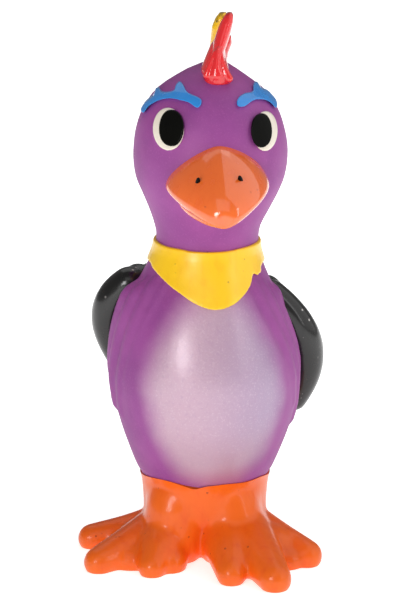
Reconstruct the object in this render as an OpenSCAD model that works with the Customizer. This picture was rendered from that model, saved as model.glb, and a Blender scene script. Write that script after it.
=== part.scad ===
// Squeaky latex bird, standing, with its squeaker and filling.
// The hollow skin is drawn as the pieces that it bends between.

/* [Body] */
// Widest diameter of the belly
body_w = 53.6; // [50:0.2:56]
// Height of the widest part of the belly above the floor
belly_z = 52; // [50:0.5:54]
// Diameter of the legs where they meet the body
leg_w = 35.4; // [33:0.2:37]
// Height of the seam between the legs and the body
leg_top_z = 21.5; // [20:0.5:23]
// Thickness of the latex skin
wall = 1.6; // [1.2:0.1:1.9]

/* [Belly] */
// Diameter of the part of the belly wall that gives under a thumb
belly_press_d = 36; // [30:1:38]
// How far that wall can be pressed in
belly_travel = 5; // [2:0.5:6]

/* [Neck and head] */
// Height of the point that the neck and head bend about
neck_z = 90.5; // [90:0.25:91]
// Sideways place of that point
neck_x = 0.3; // [-0.4:0.1:0.4]
// Radius of the neck at that point
neck_r = 14.2; // [13.8:0.1:14.3]
// Widest diameter of the head
head_w = 41.4; // [39:0.2:44]
// Height of the crown above the floor
crown_z = 135; // [133:0.5:137]
// Lean of the head towards +X in degrees
head_lean = 2.4; // [-4:0.1:4]
// Turn of the face towards +X in degrees
head_turn = 5.5; // [-10:0.5:10]
// Thickness of the coats painted over the skin
coat = 0.9; // [0.6:0.1:1.2]

/* [Eyes and brows] */
// Distance between the middles of the two eyes
eye_gap = 23.7; // [22:0.1:25]
// Height of the eyes above the floor
eye_z = 121.4; // [119:0.1:123]
// Width of an eye, seen from the front
eye_w = 8.2; // [7:0.1:9]
// Height of an eye
eye_h = 11.6; // [10:0.1:13]

/* [Beak] */
// Reach of the beak's tip in front of the head's axis
beak_reach = 35; // [31:0.5:38]
// Width of the beak between its two corners
beak_w = 26; // [24:0.5:28]

/* [Comb] */
// Height of the comb's tip above the floor
comb_tip_z = 150; // [146:0.5:152]
// Lean of the comb's tip towards +X
comb_lean = 4; // [0:0.5:6]

/* [Feet] */
// Thickness of a toe at its tip
toe_d = 7.6; // [6.5:0.1:8.5]

/* [Squeaker] */
// Outer diameter of the squeaker's barrel, and of the hole in the sole
squeaker_d = 14; // [12:0.5:16]
// Length of the squeaker
squeaker_h = 13; // [11:0.5:15]

/* [Hidden] */

round_fn = 96;                      // facets of a turned surface
ball_fn = 24;                       // facets of the balls that toes and lobes are hulled from
eps = 0.05;                         // width of a glue line
gap = 0.4;                          // clearance between skins that move past each other

purple = [0.56, 0.27, 0.60];
pearl = [0.76, 0.66, 0.78];
orange = [0.93, 0.42, 0.16];
yellow = [0.98, 0.80, 0.12];
black = [0.07, 0.07, 0.07];
cream = [0.96, 0.95, 0.88];
blue = [0.18, 0.52, 0.85];
red = [0.85, 0.14, 0.14];
fleece = [0.93, 0.93, 0.91];
plastic = [0.90, 0.90, 0.88];
brass = [0.80, 0.65, 0.30];

// Points of a smooth curve through the stations, with n steps from each to the next
function spline_at(a, b, c, d, t) =
    0.5 * (2 * b + (c - a) * t + (2 * a - 5 * b + 4 * c - d) * t * t
        + (3 * b - a - 3 * c + d) * t * t * t);
function smooth(st, n) = [
    for (i = [0 : len(st) - 2], k = [0 : n - 1])
        spline_at(st[max(i - 1, 0)], st[i], st[i + 1], st[min(i + 2, len(st) - 1)], k / n),
    st[len(st) - 1]];
function reversed(p) = [for (i = [len(p) - 1 : -1 : 0]) p[i]];
function grown(p, by) = [for (q = p) [max(q[0] + by, 0), q[1]]];
function arc(r, from, to, n) = [
    for (i = [0 : n]) let (a = from + (to - from) * i / n) [r * cos(a), r * sin(a)]];

// Body outline from the leg seam to the top of the shoulders, as [radius, height]
body_r = body_w / 2;
leg_r = leg_w / 2;
shoulder_z = neck_z - 5.5;
shoulder_r = neck_r - 0.1;
body_line = smooth([
    [leg_r, leg_top_z],
    [body_r * 0.79, belly_z - 21.5],
    [body_r * 0.94, belly_z - 10],
    [body_r, belly_z],
    [body_r * 0.93, belly_z + 11.5],
    [body_r * 0.77, belly_z + 23.5],
    [neck_r + 2.6, neck_z - 9.5],
    [shoulder_r, shoulder_z]], 4);

// Leg outline from the floor to the leg seam
leg_line = smooth([
    [leg_r + 1.2, 0],
    [leg_r + 1.0, 9],
    [leg_r, 15],
    [leg_r, leg_top_z]], 3);

// Head outline: a ball joint's ball below, and a teardrop above it
ball_low = -25;
ball_high = 12;
head_r = head_w / 2;
head_mid_z = neck_z + 21.5;
head_line = concat(
    [for (q = arc(neck_r, ball_low, ball_high, 6)) [q[0], q[1] + neck_z]],
    smooth([
        [head_r * 0.76, neck_z + 6.2],
        [head_r * 0.875, neck_z + 10.5],
        [head_r * 0.965, neck_z + 15],
        [head_r, head_mid_z],
        [head_r * 0.965, head_mid_z + 6.6],
        [head_r * 0.81, head_mid_z + 15.3],
        [head_r * 0.62, crown_z - 4.1],
        [head_r * 0.38, crown_z - 1.4],
        [0, crown_z]], 3));

// Ring between two copies of an outline, the outer one grown by 'out' and the inner by 'in'
module turned_shell(line, out, in) {
    rotate_extrude($fn = round_fn) polygon(concat(grown(line, out), reversed(grown(line, in))));
}
// Everything inside an outline that is grown by 'out'
module turned_solid(line, out) {
    first = line[0];
    last = line[len(line) - 1];
    rotate_extrude($fn = round_fn)
        polygon(concat([[0, first[1]]], grown(line, out), [[0, last[1]]]));
}
// Bar along Y in front of the axis, from an outline drawn in X and Z
module front_bar() {
    rotate([90, 0, 0]) linear_extrude(60) children();
}
module ball(p, r) {
    translate(p) sphere(r, $fn = ball_fn);
}
// Places its children on the leaning, turned head
module on_head() {
    translate([neck_x, 0, neck_z]) rotate([0, head_lean, 0]) rotate([0, 0, head_turn])
        translate([0, 0, -neck_z]) children();
}
// Places its children on the trunk's own axis, turned as the face is
module on_body() {
    rotate([0, 0, head_turn]) children();
}

// ---- Trunk ----
module torso_skin() {
    color(purple) difference() {
        turned_shell(body_line, 0, -wall);
        translate([0, 0, belly_z - 2]) rotate([90, 0, 0])
            cylinder(d = belly_press_d, h = body_w, $fn = round_fn);
        // room for the neck's ball
        translate([neck_x, 0, neck_z]) sphere(neck_r + gap, $fn = round_fn);
    }
}
module belly_wall() {
    color(pearl) intersection() {
        turned_shell(body_line, 0, -wall);
        translate([0, 0, belly_z - 2]) rotate([90, 0, 0])
            cylinder(d = belly_press_d - 2 * gap, h = body_w, $fn = round_fn);
    }
}
sole_t = 2;
module leg_skirt() {
    color(orange) difference() {
        union() {
            turned_shell(leg_line, 0, -wall - 0.4);
            cylinder(r = leg_r, h = sole_t, $fn = round_fn);
        }
        translate([0, 0, -1]) cylinder(d = squeaker_d, h = sole_t + 2, $fn = round_fn);
    }
}
// A toe is hulled from its tip on the floor back to its root at the ankle
root_r = 7.4;
module toe(tip, root, root_r) {
    hull() {
        ball([tip[0], tip[1], toe_d / 2 - 0.4], toe_d / 2);
        ball(root, root_r);
    }
}
module foot(tips, roots) {
    color(orange) difference() {
        union() {
            for (i = [0 : 2]) toe(tips[i], roots[i], root_r);
            hull() for (r = roots) ball(r, root_r);
        }
        turned_solid(leg_line, eps);
        translate([-50, -60, -10]) cube([100, 120, 10]);
    }
}
module left_foot() {
    foot([[-32, -1.5], [-28, -21], [-13, -24.5]],
        [[-14, -3, 7], [-13, -8, 6.5], [-9, -12, 6.5]]);
}
module right_foot() {
    foot([[7.5, -30], [18.5, -34], [28, -14]],
        [[8, -14, 6.5], [12, -10, 6.5], [14, -5, 7]]);
}
// A folded wing is hulled from balls laid on the side and the back of the trunk
module wing(balls) {
    color(black) difference() {
        hull() for (b = balls) ball([b[0], b[1], b[2]], b[3]);
        turned_solid(body_line, eps);
    }
}
module left_wing() {
    wing([[-17, 9, 77, 6], [-23.2, 10, 66, 7.3], [-22, 12, 57, 6], [-13, 22, 58, 6],
        [-9, 24, 44, 4]]);
}
module right_wing() {
    wing([[16, 9, 76, 6], [23.8, 11, 58, 8.4], [22.5, 13, 49, 7], [13, 22, 56, 6.5],
        [9, 24, 39, 4]]);
}
// Collar: a thick coat round the base of the neck, with a rounded point in front
collar_back = 8;                    // drop of its lower edge below the neck's pivot, at the back
collar_front = 17;                  // and at the point in front
collar_line = concat(
    [for (p = body_line) if (p[1] > neck_z - 24 && p[0] > neck_r + 0.6) p],
    [[neck_r + 0.55, neck_z - 4.5], [neck_r + 0.5, neck_z - 2.4]]);
module collar() {
    color(yellow) difference() {
        turned_shell(collar_line, coat, eps);
        // lower edge, level at the back and pointed at the front
        on_body() translate([-40, 0, neck_z - 40]) cube([80, 60, 40 - collar_back]);
        on_body() translate([0, eps, 0]) front_bar() polygon([
            [-40, neck_z - collar_back], [-13, neck_z - collar_back],
            [-5, neck_z - collar_front + 1.5], [0, neck_z - collar_front],
            [4, neck_z - collar_front + 1.5], [12, neck_z - collar_back],
            [40, neck_z - collar_back], [40, neck_z - 40], [-40, neck_z - 40]]);
        translate([neck_x, 0, neck_z]) sphere(neck_r + gap, $fn = round_fn);
    }
}
// Loose filling above the squeaker, with room in front for the belly wall to come in
belly_edge_y = sqrt(pow(body_r - wall, 2) - pow(belly_press_d / 2, 2));
module body_filling() {
    color(fleece) difference() {
        turned_solid([for (p = body_line) if (p[1] < neck_z - 13) p], -wall - 0.6);
        translate([0, -(belly_edge_y - belly_travel - 2 * gap), belly_z - 2])
            rotate([90, 0, 0]) cylinder(d = belly_press_d + 2, h = 60, $fn = round_fn);
    }
}

// ---- Squeaker, pressed into the sole ----
barrel_wall = 1.2;
floor_t = 1.4;
squeaker_z = 0.5;                   // the flange sits in the sole, clear of the floor
reed_z = squeaker_z + floor_t + 0.4;
reed_len = 7;
reed_t = 0.25;
reed_gap = 0.6;                     // the reed stands this far off the block's flat face
block_r = 2.4;
module squeaker_housing() {
    color(plastic) translate([0, 0, squeaker_z]) difference() {
        union() {
            cylinder(d = squeaker_d - 2 * eps, h = squeaker_h, $fn = round_fn);
            translate([0, 0, sole_t - squeaker_z + eps])
                cylinder(d = squeaker_d + 3, h = 1, $fn = round_fn);
        }
        translate([0, 0, floor_t])
            cylinder(d = squeaker_d - 2 * barrel_wall, h = squeaker_h, $fn = round_fn);
        translate([0, 0, -1]) cylinder(d = 2.6, h = floor_t + 2, $fn = round_fn);
    }
}
module squeaker_cap() {
    vents = 5;
    color(plastic) translate([0, 0, squeaker_z + squeaker_h - 1.2]) difference() {
        cylinder(d = squeaker_d - 2 * barrel_wall - 2 * eps, h = 1.2, $fn = round_fn);
        for (i = [0 : vents - 1]) rotate([0, 0, i * 360 / vents])
            translate([squeaker_d * 0.24, 0, -1]) cylinder(d = 1.4, h = 4, $fn = 32);
    }
}
// Half-round trough that the reed beats against, with its flat face towards -Y
module reed_block() {
    color(plastic) translate([0, 0, squeaker_z + floor_t + eps]) difference() {
        cylinder(r = block_r, h = reed_len + 1.6, $fn = round_fn);
        translate([-5, -10, -1]) cube([10, 10, 20]);
        translate([0, 0, -1]) cylinder(r = 1.2, h = reed_len + 0.6, $fn = round_fn);
    }
}
// Band that pins the lower end of the reed against the block
module reed_clamp() {
    color(plastic) translate([0, 0, squeaker_z + floor_t + eps]) difference() {
        translate([-block_r, -1.6, 0]) cube([2 * block_r, 1.6 - eps, 2]);
        translate([-1.8, -1.15, -1]) cube([3.6, 2, 4]);
    }
}
module squeaker_reed() {
    color(brass) translate([-1.5, -reed_gap - reed_t, reed_z]) cube([3, reed_t, reed_len]);
}

// ---- Neck and head ----
neck_in = neck_r - wall - gap;
module neck_skin() {
    color(purple) translate([neck_x, 0, neck_z]) difference() {
        sphere(neck_in, $fn = round_fn);
        sphere(neck_in - wall, $fn = round_fn);
        translate([-30, -30, 1.5]) cube([60, 60, 30]);
        translate([-30, -30, -38]) cube([60, 60, 30]);
    }
}
// The head's ball is cut out to a sphere inside as well, so that the neck can turn in it
module head_skin() {
    color(purple) on_head() difference() {
        turned_solid(head_line, 0);
        turned_solid([for (p = head_line) if (p[1] > neck_z + 4 && p[1] < crown_z - 1.6) p], -wall);
        translate([0, 0, neck_z]) sphere(neck_r - wall, $fn = round_fn);
    }
}
module head_filling() {
    color(fleece) on_head()
        turned_solid([for (p = head_line) if (p[1] > neck_z + 8 && p[1] < crown_z - 2) p],
            -wall - 0.6);
}
// A coat on the head: the part of a thin layer that an outline in X and Z covers
module head_coat(from, to) {
    on_head() intersection() {
        turned_shell([for (p = head_line) if (p[1] > neck_z + 20) p], to, from);
        front_bar() children();
    }
}
module eye_oval(side, w, h, shift) {
    translate([side * (eye_gap / 2 - shift), eye_z]) scale([w / h, 1]) circle(d = h, $fn = 64);
}
module eye_white(side) {
    color(cream) head_coat(eps, coat) eye_oval(side, eye_w, eye_h, 0);
}
module pupil(side) {
    color(black) head_coat(coat + eps, 2 * coat) eye_oval(side, eye_w * 0.72, eye_h * 0.74, 0.6);
}
module left_eye_white() { eye_white(-1); }
module right_eye_white() { eye_white(1); }
module left_pupil() { pupil(-1); }
module right_pupil() { pupil(1); }
// Brow with a thick inner end and barbs along its upper edge
brow_z = eye_z + eye_h / 2 + 0.5;
module eyebrow(side) {
    color(blue) head_coat(eps, coat + 0.4) polygon([
        for (q = [[5, 0.6], [4.6, 2.2], [6, 3.1], [8.5, 2.7], [9.6, 3.9], [10.3, 2.2],
            [12.6, 2.9], [13, 1.4], [16.5, 1], [18.6, -2], [15, -0.8], [11, 0.3], [8, -0.1]])
        [side * q[0], brow_z + q[1]]]);
}
module left_eyebrow() { eyebrow(-1); }
module right_eyebrow() { eyebrow(1); }

// Beak: a wide upper bill over a narrower lower one, both bonded to the head
mouth_z = neck_z + 13.5;
mouth_slope = 13;
// Everything above the line of the mouth, or below it, which falls towards the tip
module beyond_mouth(up) {
    translate([0, -18, mouth_z]) rotate([mouth_slope, 0, 0]) translate([-30, -40, up ? 0 : -30])
        cube([60, 80, 30]);
}
module upper_bill() {
    hull() {
        ball([0, -17, mouth_z + 11], 3);
        for (side = [-1, 1]) ball([side * (beak_w / 2 - 3), -15.5, mouth_z + 1.5], 3.2);
        ball([0, -beak_reach + 9, mouth_z + 3.5], 5.5);
        ball([0.4, -beak_reach + 3.6, mouth_z - 1.8], 3.4);
    }
}
nostril_x = 5.8;
nostril_z = mouth_z + 5;
module nostril_pins(d) {
    for (side = [-1, 1]) translate([side * nostril_x, -21.5, nostril_z])
        rotate([90, 0, 0]) cylinder(d = d, h = 8, $fn = 32);
}
module beak_upper() {
    color(orange) on_head() difference() {
        upper_bill();
        turned_solid(head_line, eps);
        beyond_mouth(false);
        nostril_pins(1.4);
    }
}
module beak_lower() {
    color(orange) on_head() difference() {
        hull() {
            for (side = [-1, 1]) ball([side * (beak_w / 2 - 5), -15.5, mouth_z - 0.6], 2.2);
            ball([0.4, -beak_reach + 6, mouth_z - 3.6], 2.8);
        }
        turned_solid(head_line, eps);
        translate([0, 0, -eps]) beyond_mouth(true);
    }
}
module nostrils() {
    color(black) on_head() intersection() {
        nostril_pins(1.4 - 2 * eps);
        upper_bill();
    }
}

// ---- Comb: three lobes in a row from front to back, thin from side to side ----
lobe_r = 2.6;
lobe_lift = lobe_r + 0.9;           // the lobes hang clear of the crown, which they rock over
module lobe(front, back, top, shade) {
    color(shade) hull() {
        ball([front[0], front[1], front[2] + lobe_lift], lobe_r);
        ball([back[0], back[1], back[2] + lobe_lift], lobe_r);
        ball(top, 1.7);
    }
}
module comb_front() {
    lobe([3.2, -10, crown_z - 2.2], [2.8, -5.4, crown_z - 0.4],
        [2.3 + comb_lean, -6, comb_tip_z - 1.7], red);
}
module comb_middle() {
    lobe([2, 0.2, crown_z + 0.2], [2, 3.2, crown_z], [comb_lean - 1.2, 1.6, comb_tip_z - 4], yellow);
}
module comb_rear() {
    lobe([2.8, 8.8, crown_z - 1.2], [2.8, 11.4, crown_z - 2.5],
        [comb_lean + 2.4, 9.4, comb_tip_z - 9], red);
}

torso_skin();
belly_wall();
leg_skirt();
left_foot();
right_foot();
left_wing();
right_wing();
collar();
body_filling();
squeaker_housing();
squeaker_cap();
reed_block();
reed_clamp();
squeaker_reed();
neck_skin();
head_skin();
head_filling();
beak_upper();
beak_lower();
nostrils();
left_eye_white();
right_eye_white();
left_pupil();
right_pupil();
left_eyebrow();
right_eyebrow();
comb_front();
comb_middle();
comb_rear();
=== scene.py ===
"""Looks of a squeaky latex bird: soft skin, thick brushed coats, bill, comb, wings and feet.

Lengths are in millimetres in the classes and become metres where a mesh is made.
"""

from __future__ import annotations

import logging
import math
from dataclasses import dataclass, field
from enum import Enum
from typing import Callable, Sequence

import bpy
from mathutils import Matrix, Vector


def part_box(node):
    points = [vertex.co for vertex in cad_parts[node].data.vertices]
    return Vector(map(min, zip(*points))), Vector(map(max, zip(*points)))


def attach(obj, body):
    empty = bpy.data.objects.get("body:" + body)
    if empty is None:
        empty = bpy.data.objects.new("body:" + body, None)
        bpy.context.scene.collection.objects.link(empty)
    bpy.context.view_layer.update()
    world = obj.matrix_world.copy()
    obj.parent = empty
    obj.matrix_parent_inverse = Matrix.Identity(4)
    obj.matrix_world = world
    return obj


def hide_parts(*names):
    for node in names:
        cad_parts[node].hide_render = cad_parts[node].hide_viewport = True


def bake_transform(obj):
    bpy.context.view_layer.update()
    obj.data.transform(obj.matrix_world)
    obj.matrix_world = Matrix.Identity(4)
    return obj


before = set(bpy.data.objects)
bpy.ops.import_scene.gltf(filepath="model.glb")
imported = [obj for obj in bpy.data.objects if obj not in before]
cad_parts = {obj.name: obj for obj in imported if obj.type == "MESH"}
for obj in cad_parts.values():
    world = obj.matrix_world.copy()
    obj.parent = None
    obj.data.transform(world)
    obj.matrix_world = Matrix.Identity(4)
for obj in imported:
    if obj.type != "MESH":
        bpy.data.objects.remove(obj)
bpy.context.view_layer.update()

MM = 0.001
LOG = logging.getLogger("latex_bird")
Point = tuple[float, float, float]
Flat = tuple[float, float]
Colour = tuple[float, float, float, float]
Piece = bpy.types.Object
Material = bpy.types.Material
Socket = bpy.types.NodeSocket


# ---------------------------------------------------------------- shader maths


class Signal:
    """A number socket that takes part in sums, adding Math nodes as it goes."""

    def __init__(self, graph: "Graph", socket: Socket) -> None:
        """Wraps one output socket of the graph."""
        self.graph = graph
        self.socket = socket

    def _math(self, operation: str, first: object, second: object = 0.0) -> "Signal":
        """Returns the result of one Math node on two values."""
        made = self.graph.node("ShaderNodeMath", {"operation": operation}, {0: first, 1: second})
        return Signal(self.graph, made.outputs[0])

    def __add__(self, other: object) -> "Signal":
        """Returns self + other."""
        return self._math("ADD", self, other)

    __radd__ = __add__

    def __sub__(self, other: object) -> "Signal":
        """Returns self - other."""
        return self._math("SUBTRACT", self, other)

    def __rsub__(self, other: object) -> "Signal":
        """Returns other - self."""
        return self._math("SUBTRACT", other, self)

    def __mul__(self, other: object) -> "Signal":
        """Returns self * other."""
        return self._math("MULTIPLY", self, other)

    __rmul__ = __mul__

    def __truediv__(self, other: object) -> "Signal":
        """Returns self / other."""
        return self._math("DIVIDE", self, other)

    def root(self) -> "Signal":
        """Returns the square root."""
        return self._math("SQRT", self)

    def highest(self, other: object) -> "Signal":
        """Returns the larger of self and other."""
        return self._math("MAXIMUM", self, other)

    def angle_from(self, other: "Signal") -> "Signal":
        """Returns the angle whose sine is along self and cosine along other, in radians."""
        return self._math("ARCTAN2", self, other)

    def rise(self, low: float, high: float) -> "Signal":
        """Returns 0 below low and 1 above high, with a soft step between."""
        made = self.graph.node(
            "ShaderNodeMapRange",
            {"interpolation_type": "SMOOTHSTEP", "clamp": True},
            {"Value": self, "From Min": low, "From Max": high, "To Min": 0.0, "To Max": 1.0},
        )
        return Signal(self.graph, made.outputs["Result"])

    def fall(self, low: float, high: float) -> "Signal":
        """Returns 1 below low and 0 above high, with a soft step between."""
        return 1.0 - self.rise(low, high)


class Graph:
    """The nodes of one material, around its Principled shader."""

    def __init__(self, name: str) -> None:
        """Makes a material of that name."""
        self.material = bpy.data.materials.new(name)
        self.material.use_nodes = True
        self.tree = self.material.node_tree
        self.shader = self.tree.nodes["Principled BSDF"]
        self._place: Socket | None = None

    def _feed(self, socket: Socket, value: object) -> None:
        """Sets a socket to a value, or links it to a signal or a socket."""
        if isinstance(value, Signal):
            self.tree.links.new(value.socket, socket)
        elif isinstance(value, Socket):
            self.tree.links.new(value, socket)
        else:
            socket.default_value = value

    def node(self, kind: str, settings: dict | None = None, inputs: dict | None = None) -> bpy.types.Node:
        """Adds one node.

        Args:
            kind: the node's type name.
            settings: its properties, set before its sockets.
            inputs: socket name or number to a value, a signal or a socket.

        Returns:
            The new node.
        """
        made = self.tree.nodes.new(kind)
        for key, value in (settings or {}).items():
            setattr(made, key, value)
        for key, value in (inputs or {}).items():
            self._feed(made.inputs[key], value)
        return made

    def place(self) -> Socket:
        """Returns the object coordinates, in metres."""
        if self._place is None:
            self._place = self.node("ShaderNodeTexCoord").outputs["Object"]
        return self._place

    def axes(self) -> tuple[Signal, Signal, Signal]:
        """Returns x, y and z in millimetres."""
        parts = self.node("ShaderNodeSeparateXYZ", None, {0: self.place()})
        x, y, z = (Signal(self, parts.outputs[i]) * 1000.0 for i in range(3))
        return x, y, z

    def noise(
        self, size: float, detail: float = 2.0, rough: float = 0.5, stretch: Point = (1, 1, 1)
    ) -> Signal:
        """Returns soft noise.

        Args:
            size: distance between lumps in millimetres.
            detail: octaves.
            rough: how strong the finer octaves are.
            stretch: scale of the pattern along x, y and z.
        """
        place = self.place()
        if stretch != (1, 1, 1):
            place = self.node("ShaderNodeMapping", None, {"Vector": place, "Scale": stretch}).outputs[0]
        made = self.node(
            "ShaderNodeTexNoise",
            {"noise_dimensions": "3D"},
            {"Vector": place, "Scale": 1.0 / (size * MM), "Detail": detail, "Roughness": rough},
        )
        return Signal(self, made.outputs[0])

    def cells(self, size: float) -> Signal:
        """Returns the distance to the nearest of scattered points, in cells of that size in millimetres."""
        inputs = {"Vector": self.place(), "Scale": 1.0 / (size * MM), "Randomness": 1.0}
        made = self.node("ShaderNodeTexVoronoi", None, inputs)
        return Signal(self, made.outputs["Distance"])

    def hollow(self) -> Signal:
        """Returns 1 in creases and 0 on open and raised surfaces, a mask for painted shade in the creases."""
        made = self.node("ShaderNodeNewGeometry")
        return Signal(self, made.outputs["Pointiness"]).fall(0.44, 0.5)

    def blend(self, first: object, second: object, share: object) -> Socket:
        """Returns the first colour turning into the second as share goes from 0 to 1."""
        made = self.node("ShaderNodeMix", {"data_type": "RGBA"}, {0: share, 6: first, 7: second})
        return made.outputs[2]

    def bump(self, height: Signal, depth: float, strength: float = 1.0) -> None:
        """Raises the surface by up to depth millimetres where height is 1."""
        made = self.node(
            "ShaderNodeBump", None, {"Height": height, "Distance": depth * MM, "Strength": strength}
        )
        self._feed(self.shader.inputs["Normal"], made.outputs[0])

    def set(self, **inputs: object) -> None:
        """Feeds the shader: each name is a socket's, with _ for a space."""
        for key, value in inputs.items():
            self._feed(self.shader.inputs[key.replace("_", " ")], value)


def srgb(red: int, green: int, blue: int) -> Colour:
    """Returns a display colour, each part 0 to 255, as a linear colour."""

    def linear(part: int) -> float:
        """Returns one part in linear light."""
        c = part / 255
        return c / 12.92 if c <= 0.04045 else ((c + 0.055) / 1.055) ** 2.4

    return linear(red), linear(green), linear(blue), 1.0


# -------------------------------------------------------------------- finishes


@dataclass(frozen=True)
class LatexSkin:
    """Matt dyed latex with a fine grain, with or without the pearl belly."""

    name: str = "purple_latex"
    belly: bool = False

    def make(self) -> Material:
        """Returns the material."""
        g = Graph(self.name)
        cloud = g.noise(14.0, 3.0)
        grain = g.noise(0.5, 2.0, 0.6)
        pores = g.noise(1.6, 2.0)
        base = g.blend(srgb(152, 70, 145), srgb(140, 62, 136), cloud.rise(0.35, 0.65))
        base = g.blend(base, srgb(172, 90, 160), (grain.rise(0.5, 0.8)) * 0.35)
        rough = 0.5 + 0.12 * cloud
        height = grain * 0.5 + pores
        if self.belly:
            x, y, z = g.axes()
            turn = x.angle_from(0.0 - y) - math.radians(8.0)
            wide = turn / math.radians(54.0)
            tall = (z - 50.0) / 34.0
            wander = (g.noise(12.0, 2.0) - 0.5) * 0.22
            reach = (wide * wide + tall * tall).root() + wander
            front = y.fall(-6.0, 2.0)
            pearl = reach.fall(0.6, 1.04) * front
            speck = g.noise(0.5, 3.0, 0.65)
            peel = g.noise(1.15, 2.0, 0.5)
            # painted shade: the pearl coat is darker and greyer towards the right side, away from the key
            # light
            right_side_shade = x.rise(-6.0, 20.0)
            coat = g.blend(srgb(196, 164, 180), srgb(168, 146, 174), right_side_shade)
            coat = g.blend(coat, srgb(222, 202, 212), speck.rise(0.5, 0.75) * 0.35)
            coat = g.blend(coat, srgb(172, 140, 168), peel.rise(0.5, 0.78) * 0.3)
            coat = g.blend(coat, srgb(172, 138, 152), z.fall(30.0, 44.0) * 0.6)
            coat = g.blend(coat, srgb(178, 108, 134), z.fall(24.0, 31.0) * 0.75)
            base = g.blend(base, coat, pearl * 0.93)
            rough = rough - pearl * 0.13
            height = height + peel * pearl * 4.0
            g.set(Metallic=pearl * 0.1, Coat_Weight=pearl * 0.8, Coat_Roughness=0.27)
        g.set(Base_Color=base, Roughness=rough, Specular_IOR_Level=0.42)
        g.set(Subsurface_Weight=0.04, Subsurface_Scale=0.002)
        g.bump(height, 0.05, 0.55)
        return g.material


@dataclass(frozen=True)
class GlossCoat:
    """Thick coat of coloured latex, brushed on and left to sag."""

    name: str
    colour: Colour
    # painted shade in creases, and the darker colour of thick brush strokes
    shade_and_stroke_colour: Colour
    speck: Colour
    specks: float = 0.3
    rough: float = 0.2
    sag: float = 0.35
    shine: float = 0.55
    haze: float = 0.07
    stain: tuple[float, float] = (900.0, 901.0)
    gleam: float = 0.4
    density: float = 1.48

    def make(self) -> Material:
        """Returns the material."""
        g = Graph(self.name)
        sags = g.noise(7.0, 2.0)
        strokes = g.noise(2.6, 3.0, 0.55, (1.0, 1.0, 0.35))
        dust = g.noise(0.6, 2.0)
        # painted shade: the coat darkens in creases; thick brush strokes darken it too
        shade_and_stroke_mask = (g.hollow() * 0.75).highest(strokes.rise(0.45, 0.8) * 0.4)
        base = g.blend(self.colour, self.shade_and_stroke_colour, shade_and_stroke_mask)
        spots = g.cells(2.6).fall(0.09, 0.16) * g.noise(7.0).rise(0.47, 0.6)
        base = g.blend(base, self.speck, spots * self.specks)
        stains = g.axes()[2].rise(*self.stain) * g.noise(1.6, 3.0).rise(0.35, 0.6) * 0.75
        base = g.blend(base, self.speck, stains)
        g.set(Base_Color=base, Roughness=self.rough + 0.12 * strokes, Specular_IOR_Level=self.gleam)
        g.set(Coat_Weight=self.shine, Coat_Roughness=self.haze, Coat_IOR=self.density)
        g.bump(sags + strokes * 0.3 + dust * 0.05 + spots * 0.6, self.sag, 0.5)
        return g.material


@dataclass(frozen=True)
class Stock:
    """Stuff of the hidden parts, with one pattern through it: fibre, moulded plastic or rolled metal."""

    name: str
    dark: Colour
    light: Colour
    size: float
    detail: float
    grit: float
    stretch: Point
    rough: float
    uneven: float
    depth: float
    metallic: float = 0.0
    sheen: float = 0.0

    def make(self) -> Material:
        """Returns the material."""
        g = Graph(self.name)
        pattern = g.noise(self.size, self.detail, self.grit, self.stretch)
        base = g.blend(self.dark, self.light, pattern)
        g.set(Base_Color=base, Roughness=self.rough + self.uneven * pattern)
        g.set(Metallic=self.metallic, Sheen_Weight=self.sheen)
        g.bump(pattern, self.depth)
        return g.material


# ----------------------------------------------------------------- bench tools


def pick(*pieces: Piece) -> None:
    """Selects only these pieces, with the last one active."""
    if bpy.context.object and bpy.context.object.mode != "OBJECT":
        bpy.ops.object.mode_set(mode="OBJECT")
    bpy.ops.object.select_all(action="DESELECT")
    for piece in pieces:
        piece.select_set(True)
    if pieces:
        bpy.context.view_layer.objects.active = pieces[-1]


def modify(piece: Piece, kind: str, **settings: object) -> Piece:
    """Adds one modifier to a piece and applies it."""
    pick(piece)
    made = piece.modifiers.new(kind.lower(), kind)
    for key, value in settings.items():
        setattr(made, key, value)
    bpy.ops.object.modifier_apply(modifier=made.name)
    return piece


def settle(piece: Piece) -> Piece:
    """Moves a piece's place, turn and size into its mesh."""
    pick(piece)
    bpy.ops.object.transform_apply(location=True, rotation=True, scale=True)
    return piece


def joined(pieces: Sequence[Piece], name: str) -> Piece:
    """Returns the pieces as one object of that name."""
    pick(*pieces)
    if len(pieces) > 1:
        bpy.ops.object.join()
    pieces[-1].name = name
    return settle(pieces[-1])


def cut(piece: Piece, tool: Piece, operation: str = "DIFFERENCE") -> Piece:
    """Cuts a piece with a tool by a boolean, and throws the tool away."""
    modify(piece, "BOOLEAN", operation=operation, object=tool, solver="MANIFOLD")
    bpy.data.objects.remove(tool)
    return piece


def softened(piece: Piece, voxel: float, passes: int, strength: float = 0.5) -> Piece:
    """Runs the piece's solids together into one skin and rounds it off.

    Args:
        piece: the piece.
        voxel: size of the new mesh's cells in millimetres.
        passes: smoothing passes.
        strength: how far each pass goes, 0 to 1.

    Returns:
        The piece.
    """
    modify(piece, "REMESH", mode="VOXEL", voxel_size=voxel * MM)
    if passes:
        modify(piece, "SMOOTH", factor=strength, iterations=passes)
    return piece


def eased(piece: Piece, passes: int, share: Callable[[Vector], float]) -> Piece:
    """Smooths a piece most where share, given a point in millimetres, is 1 and not at all where it is 0."""
    group = piece.vertex_groups.new(name="ease")
    for vertex in piece.data.vertices:
        group.add([vertex.index], share(vertex.co / MM), "REPLACE")
    modify(piece, "SMOOTH", factor=0.5, iterations=passes, vertex_group="ease")
    piece.vertex_groups.clear()
    return piece


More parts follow.
